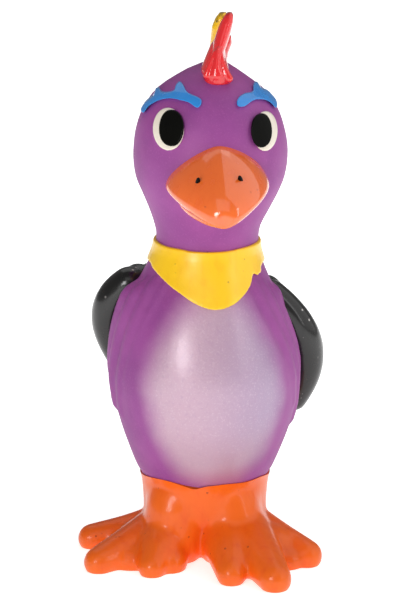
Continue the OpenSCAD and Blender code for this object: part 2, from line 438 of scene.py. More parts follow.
def shaded(piece: Piece, material: Material, angle: float = 180.0) -> Piece:
    """Gives a piece its material and smooth shading below an angle in degrees."""
    piece.data.materials.clear()
    piece.data.materials.append(material)
    pick(piece)
    if angle >= 180:
        bpy.ops.object.shade_smooth()
    else:
        bpy.ops.object.shade_smooth_by_angle(angle=math.radians(angle))
    return piece


def moved(piece: Piece, rule: Callable[[Vector], Vector]) -> Piece:
    """Moves every point of a piece by a rule in millimetres."""
    for vertex in piece.data.vertices:
        vertex.co = rule(vertex.co / MM) * MM
    piece.data.update()
    return piece


def smooth_step(low: float, high: float, value: float) -> float:
    """Returns 0 below low and 1 above high, with a soft step between."""
    t = min(max((value - low) / (high - low), 0.0), 1.0)
    return t * t * (3 - 2 * t)


def through(points: Sequence[Flat], at: float) -> float:
    """Returns the height at a place on a smooth curve through points in rising order of place."""
    if at <= points[0][0]:
        return points[0][1]
    if at >= points[-1][0]:
        return points[-1][1]
    i = max(k for k in range(len(points) - 1) if points[k][0] <= at)

    def slope(k: int) -> float:
        """Returns the curve's slope at point k."""
        a, b = points[max(k - 1, 0)], points[min(k + 1, len(points) - 1)]
        return (b[1] - a[1]) / (b[0] - a[0])

    (x0, y0), (x1, y1) = points[i], points[i + 1]
    span = x1 - x0
    t = (at - x0) / span
    return (
        (2 * t**3 - 3 * t**2 + 1) * y0
        + (t**3 - 2 * t**2 + t) * span * slope(i)
        + (3 * t**2 - 2 * t**3) * y1
        + (t**3 - t**2) * span * slope(i + 1)
    )


def rounded(points: Sequence[Flat], steps: int = 5) -> list[Flat]:
    """Returns a closed smooth outline through given points, with steps points for each."""
    n = len(points)
    out = []
    for i in range(n):
        a, b, c, d = (points[(i + k) % n] for k in (-1, 0, 1, 2))
        for s in range(steps):
            t = s / steps
            out.append(
                tuple(
                    0.5
                    * (
                        2 * b[k]
                        + (c[k] - a[k]) * t
                        + (2 * a[k] - 5 * b[k] + 4 * c[k] - d[k]) * t * t
                        + (3 * b[k] - a[k] - 3 * c[k] + d[k]) * t**3
                    )
                    for k in (0, 1)
                )
            )
    return out


class Along(Enum):
    """The way that a run of rings goes."""

    UP = 2
    FORWARD = 1


@dataclass(frozen=True)
class Ring:
    """One ring of a tube: its middle and its two half widths."""

    centre: Point
    half: Flat


def stack(*rows: tuple[float, float, float, float, float]) -> list[Ring]:
    """Returns rings from rows of a middle's x, y and z and two half widths."""
    return [Ring(row[:3], row[3:]) for row in rows]


def tube(name: str, rings: Sequence[Ring], along: Along = Along.UP, sides: int = 64) -> Piece:
    """Extrudes a circle from ring to ring and closes both ends.

    Args:
        name: the object's name.
        rings: its rings in order.
        along: the axis that the rings face.
        sides: points on a ring.

    Returns:
        A closed tube.
    """
    turn = (math.pi / 2, 0, 0) if along is Along.FORWARD else (0, 0, 0)

    def scale(a: float, b: float) -> Point:
        """Returns a scale across the tube."""
        return (a, 1.0, b) if along is Along.FORWARD else (a, b, 1.0)

    first = rings[0]
    pick()
    bpy.ops.mesh.primitive_circle_add(
        vertices=sides, radius=MM * first.half[0], location=Vector(first.centre) * MM, rotation=turn
    )
    made = bpy.context.object
    made.name = name
    bpy.ops.object.mode_set(mode="EDIT")
    bpy.ops.mesh.select_all(action="SELECT")
    bpy.ops.transform.resize(
        value=scale(1.0, first.half[1] / first.half[0]), center_override=Vector(first.centre) * MM
    )
    for a, b in zip(rings, rings[1:]):
        step = (Vector(b.centre) - Vector(a.centre)) * MM
        bpy.ops.mesh.extrude_region_move(TRANSFORM_OT_translate={"value": step})
        bpy.ops.transform.resize(
            value=scale(b.half[0] / a.half[0], b.half[1] / a.half[1]), center_override=Vector(b.centre) * MM
        )
    bpy.ops.mesh.extrude_region_move()
    bpy.ops.mesh.merge(type="CENTER")
    bpy.ops.mesh.select_all(action="DESELECT")
    bpy.ops.mesh.select_mode(type="VERT")
    bpy.ops.mesh.select_non_manifold()
    bpy.ops.mesh.extrude_region_move()
    bpy.ops.mesh.merge(type="CENTER")
    bpy.ops.mesh.select_all(action="SELECT")
    bpy.ops.mesh.normals_make_consistent(inside=False)
    bpy.ops.object.mode_set(mode="OBJECT")
    return settle(made)


def slab(name: str, outline: Sequence[Flat], near: float, far: float) -> Piece:
    """Returns an outline drawn in x and z, extruded in y from near to far."""
    pick()
    upright = (math.pi / 2, 0, 0)
    bpy.ops.mesh.primitive_circle_add(vertices=len(outline), radius=MM, fill_type="NGON", rotation=upright)
    made = bpy.context.object
    made.name = name
    settle(made)
    for vertex, (x, z) in zip(made.data.vertices, outline):
        vertex.co = Vector((x, near, z)) * MM
    bpy.ops.object.mode_set(mode="EDIT")
    bpy.ops.mesh.select_all(action="SELECT")
    bpy.ops.mesh.extrude_region_move(TRANSFORM_OT_translate={"value": (0, (far - near) * MM, 0)})
    bpy.ops.mesh.select_all(action="SELECT")
    bpy.ops.mesh.normals_make_consistent(inside=False)
    bpy.ops.object.mode_set(mode="OBJECT")
    return made


class Clay:
    """A lump built up from balls and strands, then worked smooth."""

    def __init__(self, name: str) -> None:
        """Starts a lump of that name."""
        self.name = name
        self.parts: list[Piece] = []

    @staticmethod
    def _add(at: Vector, radius: float, stretch: Point = (1, 1, 1), turn: Point = (0, 0, 0)) -> None:
        """Adds one ball to whatever is being edited, or as an object of its own."""
        bpy.ops.mesh.primitive_uv_sphere_add(
            segments=20,
            ring_count=14,
            radius=radius * MM,
            location=at * MM,
            rotation=[math.radians(a) for a in turn],
            scale=stretch,
        )

    def ball(self, at: Point, radius: float, stretch: Point = (1, 1, 1), turn: Point = (0, 0, 0)) -> None:
        """Adds a ball, stretched along its own axes and turned by degrees."""
        pick()
        self._add(Vector(at), radius, stretch, turn)
        self.parts.append(settle(bpy.context.object))

    def row(self, beads: Sequence[tuple[Vector, float]]) -> None:
        """Adds a row of overlapping balls, each given as its centre and radius."""
        pick()
        for i, (at, radius) in enumerate(beads):
            self._add(at, radius)
            if i == 0:
                self.parts.append(settle(bpy.context.object))
                bpy.ops.object.mode_set(mode="EDIT")
        bpy.ops.object.mode_set(mode="OBJECT")

    def strand(self, start: Point, bend: Point, end: Point, radii: Point, count: int = 14) -> None:
        """Adds a row of balls along a bent line, with radii at its start, middle and end."""
        beads = []
        for i in range(count):
            t = i / (count - 1)
            shares = ((1 - t) ** 2, 2 * t * (1 - t), t * t)
            at = sum((Vector(p) * s for p, s in zip((start, bend, end), shares)), Vector())
            beads.append((at, through([(0, radii[0]), (0.5, radii[1]), (1, radii[2])], t)))
        self.row(beads)

    def done(self) -> Piece:
        """Returns the lump as an object."""
        return joined(self.parts, self.name)


# ------------------------------------------------------------------ the figure


@dataclass(frozen=True)
class Silhouette:
    """The trunk, neck and head as one upright outline of (height, left, right)."""

    stations: tuple[Point, ...] = (
        (18, -17.6, 17.7), (21.5, -17.8, 17.9), (25.8, -19.6, 19.7), (30.5, -21.3, 21.6),
        (35.2, -22.9, 23.3), (42, -24.7, 25.0), (47, -25.4, 25.5), (52, -25.7, 25.7),
        (58, -25.0, 24.7), (64, -23.6, 22.7), (70, -21.5, 20.4), (76, -18.6, 18.2),
        (80, -16.4, 16.5), (83.3, -14.9, 15.4), (86, -13.8, 14.7), (89.5, -13.2, 14.6),
        (92.5, -13.7, 15.2), (96.6, -15.0, 17.3), (101.1, -16.8, 19.6), (105.5, -18.6, 21.4),
        (110, -19.3, 22.2), (114.3, -19.2, 22.2), (118.6, -18.6, 21.4), (123, -17.2, 20.0),
        (127, -14.9, 17.8), (129.6, -12.6, 15.4), (131.8, -9.6, 12.5), (133.7, -6.4, 9.9),
        (135.1, -3.9, 7.9), (136.2, -1.2, 6.2),
    )

    def at(self, z: float) -> Flat:
        """Returns the middle and the radius at a height."""
        left = through([(s[0], s[1]) for s in self.stations], z)
        right = through([(s[0], s[2]) for s in self.stations], z)
        return (left + right) / 2, (right - left) / 2

    def rings(self, low: float, high: float, step: float, grow: float = 0.0) -> list[Ring]:
        """Returns rings from low to high, about a step apart, with their radii grown."""
        count = max(2, round((high - low) / step))
        out = []
        for i in range(count + 1):
            z = low + (high - low) * i / count
            x, r = self.at(z)
            out.append(Ring((x, 0.0, z), (r + grow, r + grow)))
        return out

    def on(self, turn: float, z: float, out: float = 0.0) -> Point:
        """Returns the point out from the skin at a height and a turn from the front to +x, in degrees."""
        x, r = self.at(z)
        a = math.radians(turn)
        return (x + (r + out) * math.sin(a), -(r + out) * math.cos(a), z)


BODY = Silhouette()
CROWN_HEIGHT = BODY.stations[-1][0]


def head_form(name: str, grow: float, low: float = 84.0, step: float = 1.7) -> Piece:
    """Returns the closed form of the neck and head, grown by a distance."""
    rings = BODY.rings(low, CROWN_HEIGHT, step, grow)
    if grow:
        top = rings[-1]
        rings[-1] = Ring((top.centre[0], 0.0, top.centre[2] + grow), (top.half[0], top.half[1]))
    return tube(name, rings)


def painted(name: str, form: Callable[[str, float], Piece], low: float, high: float,
            windows: Sequence[tuple[Sequence[Flat], float, float]], voxel: float, passes: int) -> Piece:
    """Lays a thick coat on a form.

    Args:
        name: the coat's name.
        form: makes the form it lies on, grown by a distance.
        low: depth of the coat's inner face below the form's skin.
        high: height of its outer face.
        windows: outlines in x and z with the nearest and furthest y that each one covers.
        voxel: cell size of its mesh in millimetres.
        passes: smoothing passes, which round its edges.

    Returns:
        The coat.
    """
    parts = []
    for outline, near, far in windows:
        part = form(name, high)
        cut(part, form("inner", -low))
        cut(part, slab("window", outline, near, far), "INTERSECT")
        parts.append(part)
    return softened(joined(parts, name), voxel, passes)


def stocked(recipe: LatexSkin | GlossCoat | Stock) -> Material:
    """Returns a field that holds the recipe's material, made with the finishes."""
    return field(default_factory=recipe.make)


@dataclass
class Finishes:
    """Every finish of the figure, made once."""

    skin: Material = stocked(LatexSkin("head_latex"))
    belly: Material = stocked(LatexSkin("body_latex", True))
    # each coat's second colour is painted shade in creases and the darker colour of thick brush strokes
    orange: Material = stocked(GlossCoat(
        "orange_coat", srgb(242, 104, 20), srgb(228, 76, 14), srgb(120, 30, 12), specks=0.5, rough=0.32,
        sag=0.4, shine=0.3, haze=0.12, gleam=0.24))
    bill: Material = stocked(GlossCoat(
        "bill_coat", srgb(242, 110, 42), srgb(232, 90, 30), srgb(150, 50, 20), specks=0.25, sag=0.3,
        shine=1.0, haze=0.05, gleam=0.16, density=1.66))
    yellow: Material = stocked(GlossCoat(
        "yellow_coat", srgb(252, 204, 22), srgb(240, 176, 14), srgb(120, 84, 20), specks=0.8, rough=0.3,
        sag=0.5, shine=0.5, haze=0.26))
    black: Material = stocked(GlossCoat(
        "black_coat", srgb(20, 19, 18), srgb(10, 10, 10), srgb(210, 205, 200), specks=0.7, rough=0.22,
        sag=0.2, shine=0.4))
    pupil: Material = stocked(GlossCoat(
        "pupil_coat", srgb(14, 14, 12), srgb(9, 9, 9), srgb(40, 40, 40), specks=0.0, rough=0.12, sag=0.5,
        shine=0.05, haze=0.05, gleam=0.04))
    cream: Material = stocked(GlossCoat(
        "cream_coat", srgb(240, 230, 214), srgb(226, 210, 190), srgb(200, 180, 160), specks=0.2, rough=0.24,
        sag=0.12))
    blue: Material = stocked(GlossCoat(
        "blue_coat", srgb(46, 140, 220), srgb(32, 108, 190), srgb(20, 70, 140), specks=0.2, sag=0.2))
    red: Material = stocked(GlossCoat(
        "red_coat", srgb(230, 40, 44), srgb(192, 20, 26), srgb(110, 12, 16), rough=0.16, sag=0.3, shine=0.8,
        haze=0.05, stain=(148.5, 150.6)))
    comb_yellow: Material = stocked(GlossCoat(
        "comb_yellow_coat", srgb(248, 196, 24), srgb(214, 150, 16), srgb(96, 78, 20), specks=0.8, rough=0.18,
        sag=0.25, stain=(145.5, 149.0)))
    fleece: Material = stocked(Stock(
        "fleece_fibre", srgb(206, 206, 200), srgb(246, 246, 243), 2.4, 5.0, 0.7, (1, 1, 1), 0.95, 0.0, 1.2,
        sheen=0.4))
    plastic: Material = stocked(Stock(
        "squeaker_plastic", srgb(224, 223, 214), srgb(238, 238, 232), 3.0, 3.0, 0.5, (1, 1, 0.3), 0.34,
        0.14, 0.03))
    brass: Material = stocked(Stock(
        "reed_brass", srgb(196, 160, 84), srgb(226, 196, 120), 0.25, 3.0, 0.6, (1, 1, 0.05), 0.22, 0.2, 0.01,
        metallic=1.0))


@dataclass
class Trunk:
    """The hollow body skin with its feather ridges, and the collar round its neck."""

    finishes: Finishes
    wall: float = 1.6
    low: float = 21.0
    high: float = 84.0
    rim: Flat = (22.0, 24.8)
    drawn_in: float = 0.022
    # each ridge: angle and height at its top, at its bottom, how proud it is at each, and its thickness
    left_ridges: tuple[tuple[float, ...], ...] = (
        (-36, 80, -58, 52, 0.25, 0.2, 2.4),
        (-50, 79.0, -70, 42, 0.9, 0.5, 4.2),
        (-66, 77.0, -83, 43, 2.2, 1.0, 3.4),
        (-82, 75.0, -97, 45, 3.0, 1.0, 4.2),
        (-100, 73.5, -108, 56, 3.0, 0.8, 4.0),
    )
    right_ridges: tuple[tuple[float, ...], ...] = (
        (36, 79.5, 62, 50, 0.15, 0.15, 2.4),
        (50, 78.5, 76, 44, 0.5, 0.4, 4.0),
        (63, 77.0, 88, 38, 1.0, 0.9, 3.2),
        (78, 75.0, 98, 44, 1.4, 0.9, 4.0),
        (94, 73.5, 108, 54, 1.6, 0.8, 4.0),
    )

    def ridges(self) -> Piece:
        """Returns the folds of feather that run from the shoulders down the flanks."""
        clay = Clay("ridges")
        for top_turn, top, low_turn, low, proud_top, proud_low, thick in self.left_ridges + self.right_ridges:
            beads = []
            for i in range(28):
                t = i / 27
                turn = top_turn + (low_turn - top_turn) * t**0.8
                z = top + (low - top) * t
                r = thick * (0.55 + 0.45 * math.sin(math.pi * min(t * 1.5 + 0.15, 1.0) / 1.3))
                proud = (proud_top + (proud_low - proud_top) * t) * smooth_step(-0.05, 0.11, t)
                beads.append((Vector(BODY.on(turn, z, proud - r)), r))
            clay.row(beads)
        return clay.done()

    def skin(self) -> Piece:
        """Returns the body skin, hollow and open at both ends."""
        form = tube("form", BODY.rings(self.low - 2, self.high + 2, 2.5))
        piece = softened(joined([self.ridges(), form], "torso_latex"), 0.6, 5)
        cut(piece, tube("inside", BODY.rings(self.low - 6, self.high + 6, 3.0, -self.wall), sides=48))
        keep = ((-40, self.low), (40, self.low), (40, self.high), (-40, self.high))
        cut(piece, slab("ends", keep, -40, 40), "INTERSECT")
        moved(piece, self.tuck)
        shaded(piece, self.finishes.belly, 60)
        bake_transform(piece)
        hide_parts("torso_skin", "belly_wall")
        return piece

    def tuck(self, at: Vector) -> Vector:
        """Returns a point of the skin's lower rim drawn in under the legs' coat."""
        share = 1.0 - self.drawn_in * (1.0 - smooth_step(*self.rim, at.z))
        return Vector((at.x * share, at.y * share, at.z))

    def collar(self) -> Piece:
        """Returns the yellow collar, pointed in front and level behind."""
        top = [(14.9, 88.3), (12.1, 88.2), (9.3, 88.1), (5.3, 87.8), (0.0, 87.8), (-4.0, 87.9), (-6.7, 88.2),
               (-10.7, 88.2), (-13.4, 88.4)]
        front = rounded(
            [(-20, 88.4), (-20, 83.0), (-14.9, 82.8), (-14.3, 82.0), (-12.3, 80.6), (-9.3, 78.6),
             (-6.6, 77.1), (-3.3, 75.2), (0.2, 73.8), (3.6, 73.3), (7.6, 74.3), (10.6, 76.4), (12.3, 78.6),
             (12.9, 80.9),
             (14.0, 80.3), (15.2, 80.7), (15.6, 82.4), (22, 83), (22, 88.3)] + top, 4)
        back = [(-22, 82.8), (22, 82.4), (22, 88.3), (-22, 88.4)]

        def neck_form(name: str, grow: float) -> Piece:
            """Returns the shoulders and neck, grown by a distance."""
            return tube(name, BODY.rings(66, 96, 1.5, grow), sides=96)

        piece = painted("collar_coat", neck_form, 0.5, 0.75, [(front, -40, 0.02), (back, -0.02, 40)], 0.32, 5)
        shaded(piece, self.finishes.yellow)
        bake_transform(piece)
        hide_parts("collar")
        return piece


@dataclass
class Legs:
    """The orange legs, run together, and the two broad feet."""

    finishes: Finishes
    seam: float = 22.4
    # toe: root, bend, tip, and radii at each
    toes: tuple[tuple[Point, Point, Point, Point], ...] = (
        ((-11, 0.5, 5.0), (-21, -1.0, 3.8), (-31.6, -2.0, 2.2), (6.8, 5.0, 4.1)),
        ((-11, -4, 5.5), (-20, -12.5, 4.2), (-28.9, -20.2, 2.2), (8.0, 5.9, 4.3)),
        ((-9.0, -8, 6.0), (-12.2, -15, 4.8), (-14.3, -23.4, 2.0), (8.4, 6.8, 4.0)),
        ((7.0, -9, 6.5), (7.0, -20, 5.2), (7.1, -29.2, 2.4), (8.8, 6.6, 4.2)),
        ((9.8, -8, 6.5), (14.2, -21, 5.6), (18.7, -33.4, 2.6), (8.8, 6.6, 4.6)),
        ((11.5, -2, 5.5), (20.0, -9, 4.4), (28.0, -15.8, 2.4), (7.4, 5.5, 4.4)),
    )
    # ankle: x above, x and y at the foot
    ankles: tuple[Point, ...] = ((-8.2, -7.6, -10.6), (7.2, 5.6, -11.4))
    # swelling between toes: middle, radius, stretch and turn about the vertical
    webs: tuple[tuple[Point, float, Point, float], ...] = (
        ((-15.5, -8.0, 3.0), 8.0, (1.3, 1.1, 0.95), 30), ((-12.6, -13.5, 2.8), 7.4, (1.1, 1.2, 0.95), 15),
        ((-21.0, -7.5, 1.6), 5.0, (1.3, 1.0, 0.9), 30), ((-19.8, -15.8, 1.8), 5.6, (1.15, 1.05, 0.9), 40),
        ((9.6, -16.5, 3.6), 8.4, (1.05, 1.25, 1.0), -12), ((12.4, -20.8, 2.6), 5.8, (1.05, 1.2, 0.95), -15),
        ((-9.6, -18.4, 1.9), 5.0, (1.0, 1.15, 0.95), 8), ((16.5, -11.5, 3.0), 7.8, (1.25, 1.1, 0.95), -35),
        ((21.5, -16.5, 1.6), 4.8, (1.2, 1.0, 0.9), -35),
    )

    def skin(self) -> Piece:
        """Returns legs and feet as one coat, hollow above the sole and flat below."""
        clay = Clay("toes")
        for root, bend, tip, radii in self.toes:
            clay.strand(root, bend, tip, radii)
        for x, low_x, y in self.ankles:
            clay.strand((x, -9.4, 14.4), (x, -9.6, 9.0), (low_x, y, 4.2), (8.4, 8.4, 7.4))
            clay.ball((x, 6.0, 5.0), 8.8, (1.0, 1.1, 0.9))
        for at, radius, stretch, turn in self.webs:
            clay.ball(at, radius, stretch, (0, 0, turn))
        column = tube("column", stack(
            (0, 2.0, 0.8, 14.5, 10.5), (0, 1.8, 4.0, 15.6, 12.2), (0, 1.0, 8, 16.7, 14.6),
            (0, 0.3, 12, 17.2, 16.6), (0, 0, 16, 17.4, 17.2), (0.05, 0, 19, 17.6, 17.5),
            (0.05, 0, 21.5, 17.95, 17.95), (0.05, 0, 23.5, 18.8, 18.8), (0.05, 0, 26.5, 20.2, 20.2)))
        piece = softened(joined([clay.done(), column], "legs_coat"), 0.6, 14)
        eased(piece, 60, lambda at: smooth_step(10.0, 15.0, at.z) * (1.0 - smooth_step(18.5, 20.5, at.z)))
        cut(piece, slab("ground", [(-60, -20), (60, -20), (60, 0), (-60, 0)], -60, 60))
        moved(piece, self.edge)
        cut(piece, slab("top", [(-60, self.seam), (60, self.seam), (60, 60), (-60, 60)], -60, 60))
        moved(piece, self.unedge)
        cut(piece, tube("inside", stack(
            (0, 1.5, 2.2, 10.0, 8.8), (0, 1.5, 8, 12.0, 10.4), (0, 0.6, 14, 15.0, 14.0),
            (0, 0.2, 17.5, 16.2, 15.8), (0.05, 0, 20, 17.0, 17.0), (0.05, 0, 30, 17.1, 17.1))))
        pick()
        bpy.ops.mesh.primitive_cylinder_add(vertices=64, radius=7.05 * MM, depth=8 * MM, location=(0, 0, 0))
        cut(piece, settle(bpy.context.object))
        shaded(piece, self.finishes.orange, 70)
        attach(piece, "torso")
        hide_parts("leg_skirt", "left_foot", "right_foot")
        return piece

    @staticmethod
    def _lift(at: Vector) -> float:
        """Returns how far the brushed upper edge wanders up at a place round the legs."""
        turn = math.degrees(math.atan2(at.x, -at.y))
        return through(
            [(-180, 0.1), (-120, -0.5), (-90, -0.5), (-78, -0.2), (-62, 0.6), (-45, 1.5), (-32, 1.7),
             (-18, 0.8), (-9, 0.0), (-3, 0.6), (3, 1.1), (20, 1.4), (35, 1.0), (54, 1.1), (70, 0.2),
             (83, -0.6), (120, 0.2), (180, 0.1)], turn)

    def edge(self, at: Vector) -> Vector:
        """Returns a point lowered so that the wandering edge lies level."""
        return at - Vector((0, 0, self._lift(at) * smooth_step(12, 19, at.z)))

    def unedge(self, at: Vector) -> Vector:
        """Returns a point raised so that the level edge wanders again."""
        return at + Vector((0, 0, self._lift(at) * smooth_step(12, 19, at.z)))


@dataclass
class Wings:
    """The two black wings, folded behind the back."""

    finishes: Finishes
    # feather: start, bend, end, radii
    left: tuple[tuple[Point, Point, Point, Point], ...] = (
        ((-21.0, 6, 74.0), (-30.6, 8, 66.5), (-23.5, 12, 49), (4.8, 5.3, 3.0)),
        ((-18.5, 9, 74), (-28.0, 14, 63), (-18.5, 20, 44.5), (4.9, 5.3, 2.8)),
        ((-15.5, 13, 73.5), (-23.5, 20, 62), (-12, 24.5, 42), (4.6, 4.9, 2.6)),
        ((-11.0, 16, 73), (-16.0, 24, 60), (-5, 26.5, 40), (4.4, 4.4, 2.4)),
    )
    right: tuple[tuple[Point, Point, Point, Point], ...] = (
        ((18.5, 6, 70.6), (33.4, 8, 56), (25.2, 11, 39.5), (4.4, 5.5, 3.8)),
        ((17.0, 10, 70.8), (29.0, 15, 56), (18.5, 20.5, 38.5), (4.7, 5.4, 3.2)),
        ((14.0, 14, 71), (24.0, 21, 55), (11, 24.5, 37), (4.6, 4.8, 2.6)),
        ((10.0, 17, 71.4), (16.0, 24.5, 55), (5, 26.5, 36), (4.4, 4.2, 2.4)),
    )

    def wing(self, name: str, feathers: Sequence[tuple[Point, Point, Point, Point]], node: str) -> Piece:
        """Returns one wing made of its feathers."""
        clay = Clay(name)
        for start, bend, end, radii in feathers:
            clay.strand(start, bend, end, radii, 30)
        piece = softened(clay.done(), 0.6, 12)
        shaded(piece, self.finishes.black)
        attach(piece, "torso")
        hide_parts(node)
        return piece

    def both(self) -> list[Piece]:
        """Returns the left and the right wing."""
        return [self.wing("left_wing_coat", self.left, "left_wing"),
                self.wing("right_wing_coat", self.right, "right_wing")]


@dataclass(frozen=True)
class Section:
    """One section of the bill: its place forward, middle, half width, heights up and down, and roundness."""

    y: float
    x: float
    z: float
    wide: float
    up: float
    down: float
    power: float


@dataclass
class Head:
    """The head skin and all that is painted or cast on it."""

    finishes: Finishes
    wall: float = 1.6
    neck_end: Flat = (83.0, 87.6)
    drawn_in: float = 0.11
    upper: tuple[Section, ...] = (
        Section(-12.0, 3.2, 106.6, 14.0, 12.6, 4.6, 1.4),
        Section(-18.0, 3.2, 106.4, 14.0, 12.4, 5.4, 1.42),
        Section(-22.5, 3.5, 105.8, 13.1, 11.0, 6.0, 1.5),
        Section(-27.0, 4.0, 104.8, 11.0, 8.8, 5.8, 1.6),
        Section(-31.0, 4.5, 103.6, 8.2, 6.5, 5.0, 1.75),
        Section(-34.0, 4.9, 102.4, 5.3, 4.4, 3.8, 1.9),
        Section(-35.8, 5.1, 101.4, 2.7, 2.2, 2.1, 2.0),
    )
    lower: tuple[Section, ...] = (
        Section(-12.0, 2.4, 102.9, 10.2, 2.0, 3.6, 1.9),
        Section(-18.0, 2.6, 102.5, 10.0, 2.0, 4.0, 1.9),
        Section(-23.0, 3.0, 101.7, 8.8, 2.0, 3.6, 1.9),
        Section(-27.5, 3.6, 100.8, 6.8, 2.0, 2.7, 2.0),
        Section(-31.5, 4.2, 100.1, 4.3, 1.6, 1.8, 2.0),
        Section(-33.6, 4.6, 99.8, 2.2, 1.0, 1.0, 2.0),
    )

    def skin(self) -> Piece:
        """Returns the head skin, hollow, with its neck running down into the collar."""
        piece = head_form("head_latex", 0.0)
        inside = tube("inside", BODY.rings(80, 132.5, 2.5, -self.wall))
        cut(piece, inside)
        moved(piece, self.slack)
        shaded(piece, self.finishes.skin, 60)
        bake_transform(piece)
        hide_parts("head_skin", "neck_skin")
        return piece

    def slack(self, at: Vector) -> Vector:
        """Returns a point of the neck's lower end drawn in, so that it swings free inside the collar."""
        share = 1.0 - self.drawn_in * (1.0 - smooth_step(*self.neck_end, at.z))
        return Vector((at.x * share, at.y * share, at.z))

    @staticmethod
    def bill(name: str, sections: Sequence[Section]) -> Piece:
        """Returns a bill lofted through its sections, from root to tip."""
        rings = [Ring((s.x, s.y, s.z), (s.wide, s.up)) for s in sections]
        piece = tube(name, rings, Along.FORWARD, 40)

        def value(key: str, y: float) -> float:
            """Returns one measure of the bill at a place forward."""
            return through([(-s.y, getattr(s, key)) for s in sections], -y)

        def shape(at: Vector) -> Vector:
            """Returns a point of a plain ring moved on to the bill's own section."""
            x, z, wide, up = (value(k, at.y) for k in ("x", "z", "wide", "up"))
            across, rise = (at.x - x) / wide, (at.z - z) / up
            length = math.hypot(across, rise)
            if length < 1e-6:
                return at
            power = value("power", at.y)
            if rise < 0 < across:
                power = max(1.12, power * 0.8)
            elif across > 0:
                power = power + 0.14 * smooth_step(-26.0, -19.0, at.y)
            c, s = abs(across) / length, abs(rise) / length
            pull = 1.0 / (c**power + s**power) ** (1.0 / power)
            high = up if rise > 0 else value("down", at.y)
            return Vector((x + across * pull * wide, at.y, z + rise * pull * high))

        moved(piece, shape)
        modify(piece, "SUBSURF", levels=2, render_levels=2)
        return piece

    def bills(self) -> list[Piece]:
        """Returns the upper and the lower bill."""
        made = []
        for name, sections, node in (
            ("upper_bill", self.upper, "beak_upper"),
            ("lower_bill", self.lower, "beak_lower"),
        ):
            piece = self.bill(name, sections)
            shaded(piece, self.finishes.bill)
            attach(piece, "head")
            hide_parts(node)
            made.append(piece)
        return made

    def nostrils(self, bill: Piece) -> Piece:
        """Returns the two dabs of black on the upper bill."""
        clay = Clay("nostril_dabs")
        for x, z, tilt in ((-1.9, 109.8, 8), (9.1, 110.4, -14)):
            _, at, _, _ = bill.ray_cast(Vector((x, -60, z)) * MM, Vector((0, 1, 0)))
            clay.ball((x, at.y / MM + 0.2, z), 0.7, (0.9, 0.65, 2.9), (42, tilt, 0))
        piece = softened(clay.done(), 0.09, 2)
        shaded(piece, self.finishes.pupil)
        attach(piece, "head")
        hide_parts("nostrils")
        return piece

    @staticmethod
    def oval(x: float, z: float, half: Flat, lean: float, tight: float = 2.0) -> list[Flat]:
        """Returns an oval outline about (x, z), leaning by degrees towards +x."""
        out = []
        a = math.radians(lean)
        for i in range(48):
            t = 2 * math.pi * i / 48
            c, s = math.cos(t), math.sin(t)
            u = half[0] * math.copysign(abs(c) ** (2 / tight), c)
            v = half[1] * math.copysign(abs(s) ** (2 / tight), s)
            out.append((x + u * math.cos(a) + v * math.sin(a), z - u * math.sin(a) + v * math.cos(a)))
        return out

    def coat(self, name: str, node: str, outline: Sequence[Flat], high: float, voxel: float, passes: int,
             material: Material, slot: str) -> Piece:
        """Returns one coat painted on the face, riding on the head."""

        def face(label: str, grow: float) -> Piece:
            """Returns the part of the head that bears the face's coats."""
            return tube(label, BODY.rings(110, 135.5, 1.7, grow), sides=72)

        piece = painted(name, face, 0.5, high, [(outline, -40, -1.0)], voxel, passes)
        shaded(piece, material)
        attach(piece, "head")
        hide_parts(node)
        return piece

    def eyes(self) -> list[Piece]:
        """Returns whites and pupils."""
        f = self.finishes
        made = []
        for side, white, white_half, lean, dot, dot_half in (
            ("left", (-9.6, 121.2), (4.1, 5.25), 8.0, (-8.8, 121.7), (3.25, 4.5)),
            ("right", (15.8, 120.2), (3.35, 4.9), -7.0, (14.8, 120.7), (2.8, 4.2)),
        ):
            eye, pupil = self.oval(*white, white_half, lean), self.oval(*dot, dot_half, lean, 2.15)
            made += [
                self.coat(f"{side}_eye_coat", f"{side}_eye_white", eye, 0.45, 0.2, 4, f.cream, "cream_coat"),
                self.coat(f"{side}_pupil_coat", f"{side}_pupil", pupil, 1.15, 0.2, 8, f.pupil, "black_coat"),
            ]
        return made

    def brows(self) -> list[Piece]:
        """Returns the two barbed eyebrows."""
        left = rounded([
            (-1.4, 129.3), (-0.9, 128.4), (-1.3, 127.5), (-2.3, 127.1), (-4.3, 128.2), (-6.9, 128.6),
            (-8.9, 128.7), (-11.2, 128.2), (-13.2, 127.2), (-15.0, 125.8), (-16.4, 123.9), (-17.2, 124.2),
            (-16.2, 125.9), (-14.9, 127.2), (-13.6, 128.4), (-13.2, 129.6), (-12.3, 130.0), (-11.2, 129.6),
            (-8.3, 130.4), (-7.7, 131.6), (-6.7, 132.4), (-5.7, 131.8), (-4.6, 130.4)], 4)
        right = rounded([
            (8.3, 128.4), (8.3, 127.6), (9.0, 127.1), (10.4, 127.1), (12.5, 128.1), (14.5, 128.1),
            (16.8, 127.2), (18.8, 125.2), (19.3, 125.8), (18.3, 127.8), (16.6, 129.2), (15.0, 130.0),
            (13.9, 131.4), (12.8, 131.2), (12.6, 130.0), (10.5, 129.9), (8.9, 129.3)], 4)
        f = self.finishes
        return [self.coat("left_brow_coat", "left_eyebrow", left, 1.0, 0.2, 5, f.blue, "blue_coat"),
                self.coat("right_brow_coat", "right_eyebrow", right, 1.0, 0.2, 5, f.blue, "blue_coat")]


